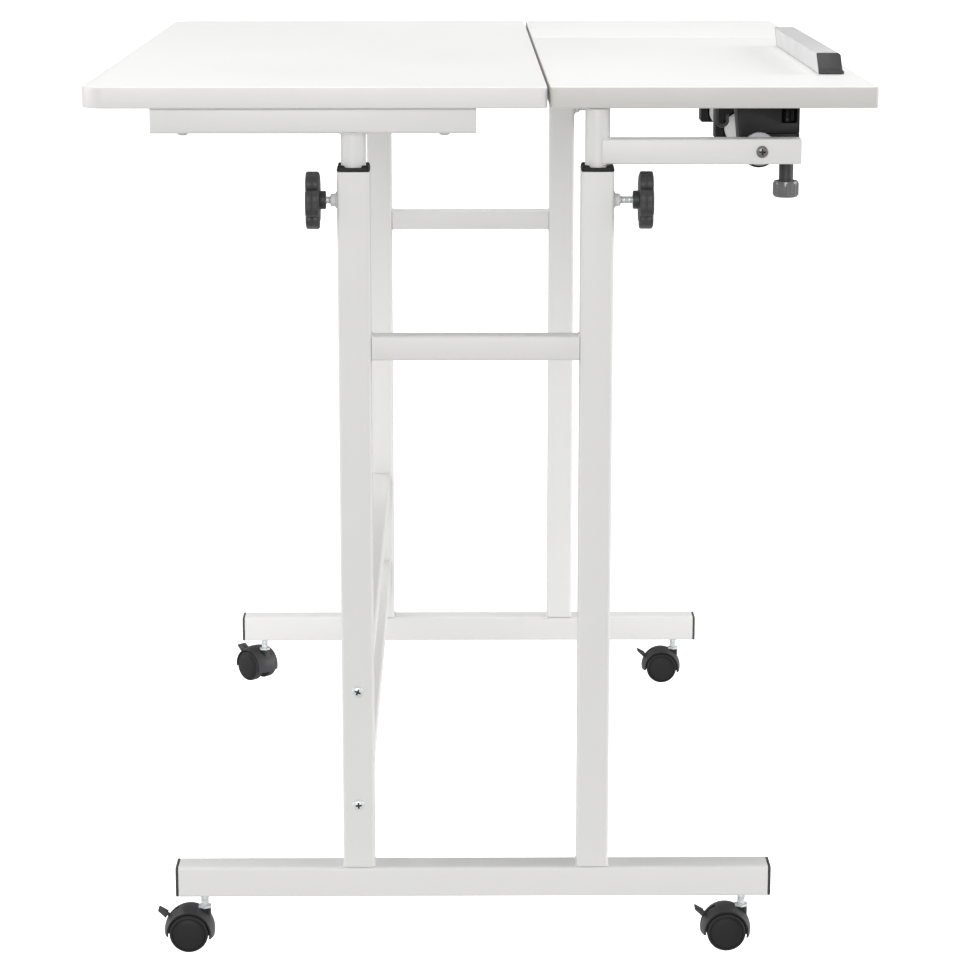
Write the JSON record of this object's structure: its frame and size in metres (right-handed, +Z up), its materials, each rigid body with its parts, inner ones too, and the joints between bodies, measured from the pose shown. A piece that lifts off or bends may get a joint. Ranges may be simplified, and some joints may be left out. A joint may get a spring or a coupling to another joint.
{
  "type": "mobile sit-stand desk",
  "caption": "Mobile sit-stand desk on braked twin-wheel casters, with rear and front boards that rise on clamped lift tubes and a front board that tilts on a cross tube.",
  "frame": {"origin": "on the floor, under the middle of the boards at their lowest height", "axes": "+X along the boards' width, to the right of a user who faces the desk; +Y away from the user, towards the rear board; +Z up"},
  "size_m": [0.8227, 0.6, 0.7041],
  "materials": {
    "white_steel": "white powder coat, semi-gloss",
    "white_board": "white melamine on chipboard with a matching edge band",
    "black_plastic": "black moulded plastic, fine matte grain",
    "black_wire": "black coated steel wire",
    "silver_ledge": "satin silver",
    "zinc_steel": "bright zinc plate"
  },
  "bodies": {
    "frame": {"left_foot": "white_steel", "right_foot": "white_steel", "left_foot_front_plug": "black_plastic", "left_foot_rear_plug": "black_plastic", "right_foot_front_plug": "black_plastic", "right_foot_rear_plug": "black_plastic", "left_front_post": "white_steel", "left_rear_post": "white_steel", "right_front_post": "white_steel", "right_rear_post": "white_steel", "left_front_guide": "black_plastic", "left_rear_guide": "black_plastic", "right_front_guide": "black_plastic", "right_rear_guide": "black_plastic", "left_side_rail": "white_steel", "right_side_rail": "white_steel", "upper_stretcher": "white_steel", "lower_stretcher": "white_steel"},
    "rear_carriage": {"rear_board": "white_board", "left_rear_support": "white_steel", "right_rear_support": "white_steel", "left_rear_lift_tube": "white_steel", "right_rear_lift_tube": "white_steel"},
    "front_carriage": {"left_front_lift_tube": "white_steel", "right_front_lift_tube": "white_steel", "left_arm": "white_steel", "right_arm": "white_steel", "left_pivot_bolt": "zinc_steel", "right_pivot_bolt": "zinc_steel", "tilt_tube": "white_steel", "side_board": "white_board", "side_board_inner_saddle": "black_plastic", "side_board_outer_saddle": "black_plastic"},
    "tilt_top": {"tilt_board": "white_board", "left_tilt_clamp": "black_plastic", "right_tilt_clamp": "black_plastic", "left_tilt_saddle": "black_plastic", "right_tilt_saddle": "black_plastic", "ledge": "silver_ledge", "left_ledge_cap": "black_plastic", "right_ledge_cap": "black_plastic", "wire_hook": "black_wire"},
    "left_clamp_screw": {"left_clamp_screw": "black_plastic"},
    "right_clamp_screw": {"right_clamp_screw": "black_plastic"},
    "left_front_knob": {"left_front_knob": "black_plastic"},
    "left_rear_knob": {"left_rear_knob": "black_plastic"},
    "right_front_knob": {"right_front_knob": "black_plastic"},
    "right_rear_knob": {"right_rear_knob": "black_plastic"},
    "left_front_caster": {"left_front_caster": "black_plastic"},
    "left_front_wheels": {"left_front_wheels": "black_plastic"},
    "left_front_brake": {"left_front_brake": "black_plastic"},
    "left_rear_caster": {"left_rear_caster": "black_plastic"},
    "left_rear_wheels": {"left_rear_wheels": "black_plastic"},
    "left_rear_brake": {"left_rear_brake": "black_plastic"},
    "right_front_caster": {"right_front_caster": "black_plastic"},
    "right_front_wheels": {"right_front_wheels": "black_plastic"},
    "right_front_brake": {"right_front_brake": "black_plastic"},
    "right_rear_caster": {"right_rear_caster": "black_plastic"},
    "right_rear_wheels": {"right_rear_wheels": "black_plastic"},
    "right_rear_brake": {"right_rear_brake": "black_plastic"}
  },
  "joints": [
    {"name": "rear_lift", "type": "slide", "parent": "frame", "child": "rear_carriage", "axis": [0, 0, 1], "range_m": [-0.023, 0.36]},
    {"name": "front_lift", "type": "slide", "parent": "frame", "child": "front_carriage", "axis": [0, 0, 1], "range_m": [0, 0.36]},
    {"name": "top_tilt", "type": "hinge", "parent": "front_carriage", "child": "tilt_top", "pos_m": [0, -0.2135, 0.6381], "axis": [1, 0, 0], "range_deg": [0, 70]},
    {"name": "left_clamp_turn", "type": "hinge", "parent": "tilt_top", "child": "left_clamp_screw", "pos_m": [-0.357, -0.236, 0.6329], "axis": [0, 0, -1], "range_deg": [0, 720]},
    {"name": "right_clamp_turn", "type": "hinge", "parent": "tilt_top", "child": "right_clamp_screw", "pos_m": [0.109, -0.236, 0.6329], "axis": [0, 0, -1], "range_deg": [0, 720]},
    {"name": "left_front_knob_turn", "type": "hinge", "parent": "frame", "child": "left_front_knob", "pos_m": [-0.385, -0.102, 0.6008], "axis": [0, -1, 0], "range_deg": [0, 720]},
    {"name": "left_rear_knob_turn", "type": "hinge", "parent": "frame", "child": "left_rear_knob", "pos_m": [-0.385, 0.108, 0.6008], "axis": [0, 1, 0], "range_deg": [0, 720]},
    {"name": "right_front_knob_turn", "type": "hinge", "parent": "frame", "child": "right_front_knob", "pos_m": [0.385, -0.102, 0.6008], "axis": [0, -1, 0], "range_deg": [0, 720]},
    {"name": "right_rear_knob_turn", "type": "hinge", "parent": "frame", "child": "right_rear_knob", "pos_m": [0.385, 0.108, 0.6008], "axis": [0, 1, 0], "range_deg": [0, 720]},
    {"name": "left_front_swivel", "type": "hinge", "parent": "frame", "child": "left_front_caster", "pos_m": [-0.385, -0.2095, 0.046], "axis": [0, 0, 1], "continuous": true},
    {"name": "left_front_roll", "type": "hinge", "parent": "left_front_caster", "child": "left_front_wheels", "pos_m": [-0.385, -0.1971, 0.0155], "axis": [1, 0, 0], "continuous": true},
    {"name": "left_front_brake_press", "type": "hinge", "parent": "left_front_caster", "child": "left_front_brake", "pos_m": [-0.385, -0.18323, 0.02634], "axis": [-1, 0, 0], "range_deg": [0, 15]},
    {"name": "left_rear_swivel", "type": "hinge", "parent": "frame", "child": "left_rear_caster", "pos_m": [-0.385, 0.2195, 0.046], "axis": [0, 0, 1], "continuous": true},
    {"name": "left_rear_roll", "type": "hinge", "parent": "left_rear_caster", "child": "left_rear_wheels", "pos_m": [-0.385, 0.2319, 0.0155], "axis": [1, 0, 0], "continuous": true},
    {"name": "left_rear_brake_press", "type": "hinge", "parent": "left_rear_caster", "child": "left_rear_brake", "pos_m": [-0.385, 0.24577, 0.02634], "axis": [-1, 0, 0], "range_deg": [0, 15]},
    {"name": "right_front_swivel", "type": "hinge", "parent": "frame", "child": "right_front_caster", "pos_m": [0.385, -0.2095, 0.046], "axis": [0, 0, 1], "continuous": true},
    {"name": "right_front_roll", "type": "hinge", "parent": "right_front_caster", "child": "right_front_wheels", "pos_m": [0.385, -0.1971, 0.0155], "axis": [1, 0, 0], "continuous": true},
    {"name": "right_front_brake_press", "type": "hinge", "parent": "right_front_caster", "child": "right_front_brake", "pos_m": [0.385, -0.18323, 0.02634], "axis": [-1, 0, 0], "range_deg": [0, 15]},
    {"name": "right_rear_swivel", "type": "hinge", "parent": "frame", "child": "right_rear_caster", "pos_m": [0.385, 0.2195, 0.046], "axis": [0, 0, 1], "continuous": true},
    {"name": "right_rear_roll", "type": "hinge", "parent": "right_rear_caster", "child": "right_rear_wheels", "pos_m": [0.39361, 0.22842, 0.0155], "axis": [0.7193, -0.6947, 0], "continuous": true},
    {"name": "right_rear_brake_press", "type": "hinge", "parent": "right_rear_caster", "child": "right_rear_brake", "pos_m": [0.40325, 0.2384, 0.02634], "axis": [-0.7193, 0.6947, 0], "range_deg": [0, 15]}
  ]
}
